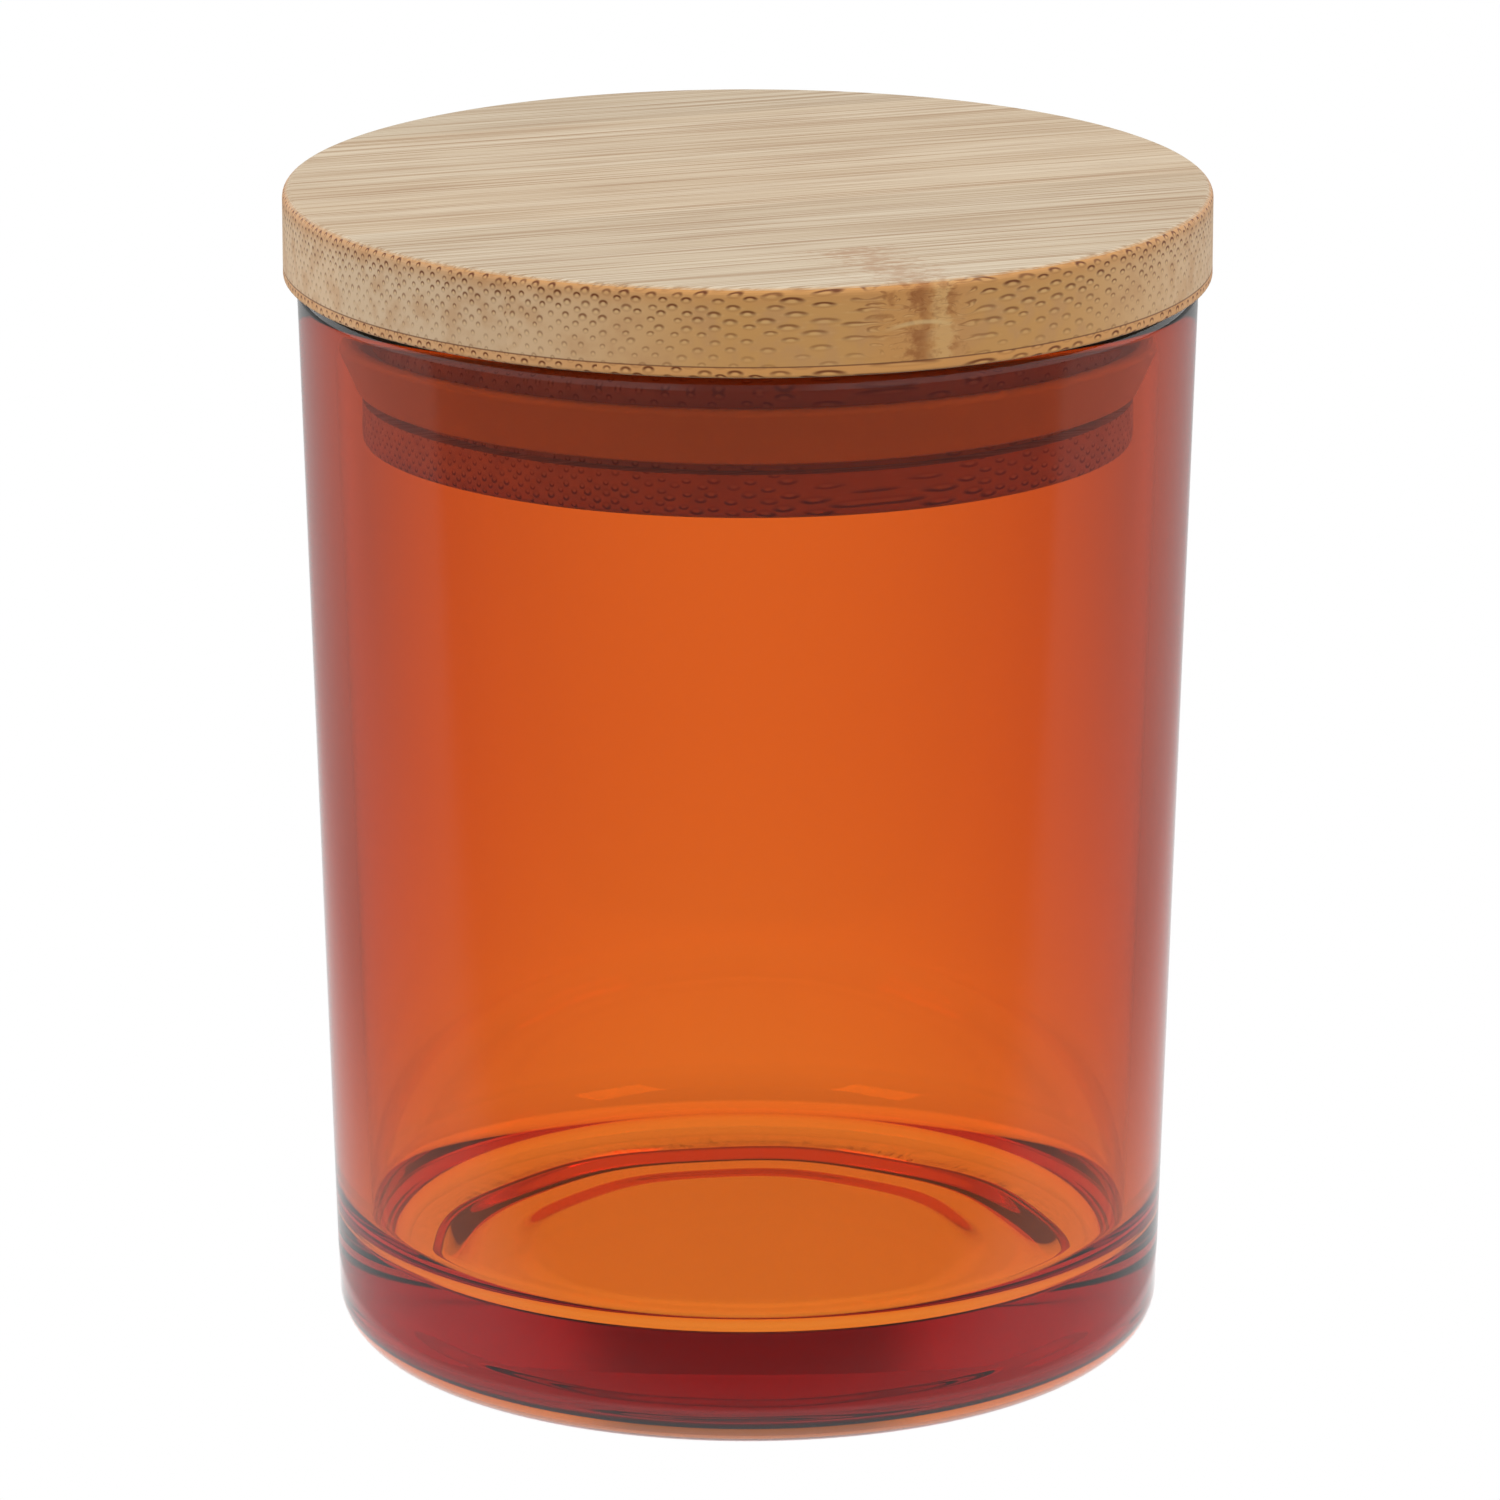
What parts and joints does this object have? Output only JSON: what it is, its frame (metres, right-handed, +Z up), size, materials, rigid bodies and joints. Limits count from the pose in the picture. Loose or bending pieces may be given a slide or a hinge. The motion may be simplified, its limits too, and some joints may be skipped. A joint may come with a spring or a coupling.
{
  "type": "candle jar",
  "caption": "Empty amber glass candle jar with a thick base, closed by a laminated bamboo lid whose plug carries a flared silicone sealing ring.",
  "frame": {"origin": "centre of the jar's foot, on the surface that it stands on", "axes": "+Z up along the jar's axis; the lid's grain runs 19 degrees anticlockwise from +X"},
  "size_m": [0.084, 0.084, 0.108],
  "materials": {
    "amber_glass": "clear glass under a transparent amber-orange lacquer outside, smooth and glossy",
    "bamboo": "sanded natural bamboo with a thin matt lacquer, straight grain and dark vascular bundles on the cut edges",
    "silicone": "translucent milky silicone, satin"
  },
  "bodies": {
    "jar": {"glass_jar": "amber_glass"},
    "seal": {"seal_ring": "silicone"},
    "lid": {"top_strip_1": "bamboo", "top_strip_2": "bamboo", "top_strip_3": "bamboo", "top_strip_4": "bamboo", "top_strip_5": "bamboo", "middle_strip_1": "bamboo", "middle_strip_2": "bamboo", "middle_strip_3": "bamboo", "middle_strip_4": "bamboo", "middle_strip_5": "bamboo", "plug_strip_1": "bamboo", "plug_strip_2": "bamboo", "plug_strip_3": "bamboo", "plug_strip_4": "bamboo"}
  },
  "joints": [
    {"name": "lid_lift", "type": "slide", "parent": "jar", "child": "seal", "axis": [0, 0, 1], "range_m": [0, 0.08]},
    {"name": "lid_turn", "type": "hinge", "parent": "seal", "child": "lid", "pos_m": [0, 0, 0.1], "axis": [0, 0, 1], "continuous": true}
  ]
}
